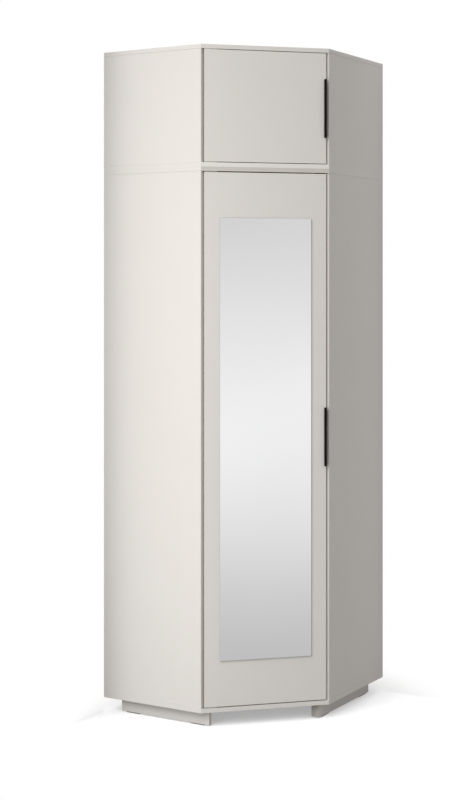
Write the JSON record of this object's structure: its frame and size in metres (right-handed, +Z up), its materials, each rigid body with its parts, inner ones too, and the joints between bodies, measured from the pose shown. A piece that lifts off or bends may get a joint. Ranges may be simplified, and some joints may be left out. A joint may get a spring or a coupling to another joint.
{
  "type": "corner wardrobe",
  "caption": "Corner wardrobe with a slanted front: tall mirrored lower unit and short upper unit, each behind an inset door with a black edge pull.",
  "frame": {"origin": "on the floor, under the middle of the bounding box", "axes": "+Z up; the two back faces lie against room walls at -X and +Y, and the slanted front faces between +X and -Y"},
  "size_m": [0.783, 0.816, 2.5],
  "materials": {
    "laminate": "satin melamine-faced board, warm pale grey",
    "fibreboard": "white-faced hardboard",
    "pine": "planed, unvarnished",
    "black_aluminium": "black anodised, matt",
    "mirror": "silvered glass with polished edges",
    "dark_plastic": "moulded",
    "grey_plastic": "moulded",
    "steel": "zinc plated",
    "chrome": "plated tube"
  },
  "bodies": {
    "cabinet": {"lower_left_side": "laminate", "lower_right_side": "laminate", "lower_bottom_board": "laminate", "lower_top_board": "laminate", "lower_back_left": "fibreboard", "lower_back_right": "fibreboard", "lower_corner_post": "pine", "shelf_corner_post": "pine", "hat_shelf": "laminate", "shelf_pin_left_front": "steel", "shelf_pin_left_wall": "steel", "shelf_pin_right_front": "steel", "shelf_pin_right_wall": "steel", "hanging_rail": "chrome", "rail_bracket_left": "grey_plastic", "rail_bracket_right": "grey_plastic", "plinth_left": "laminate", "plinth_rear": "laminate", "plinth_right_outer": "laminate", "plinth_right_inner": "laminate", "glide_left_wall": "dark_plastic", "glide_left_front": "dark_plastic", "glide_rear_wall": "dark_plastic", "glide_rear_inner": "dark_plastic", "glide_right_front": "dark_plastic", "glide_right_wall": "dark_plastic", "upper_left_side": "laminate", "upper_right_side": "laminate", "upper_bottom_board": "laminate", "upper_top_board": "laminate", "upper_back_left": "fibreboard", "upper_back_right": "fibreboard", "upper_corner_post": "pine", "unit_connector_1": "steel", "unit_connector_2": "steel", "unit_connector_3": "steel", "lower_bottom_pivot_leaf": "steel", "lower_top_pivot_leaf": "steel", "lower_thrust_washer": "dark_plastic", "lower_catch": "grey_plastic", "upper_bottom_pivot_leaf": "steel", "upper_top_pivot_leaf": "steel", "upper_thrust_washer": "dark_plastic", "upper_catch": "grey_plastic"},
    "lower_door_leaf": {"lower_door": "laminate", "door_mirror": "mirror", "lower_handle": "black_aluminium", "lower_handle_screw_1": "steel", "lower_handle_screw_2": "steel", "lower_bottom_socket_leaf": "steel", "lower_top_socket_leaf": "steel", "lower_strike": "steel"},
    "upper_door_leaf": {"upper_door": "laminate", "upper_handle": "black_aluminium", "upper_handle_screw_1": "steel", "upper_handle_screw_2": "steel", "upper_bottom_socket_leaf": "steel", "upper_top_socket_leaf": "steel", "upper_strike": "steel"}
  },
  "joints": [
    {"name": "lower_door_swing", "type": "hinge", "parent": "cabinet", "child": "lower_door_leaf", "pos_m": [0.05391, -0.39151, 1.053], "axis": [0, 0, -1], "range_deg": [0, 105]},
    {"name": "upper_door_swing", "type": "hinge", "parent": "cabinet", "child": "upper_door_leaf", "pos_m": [0.05391, -0.39151, 2.276], "axis": [0, 0, -1], "range_deg": [0, 105]}
  ]
}
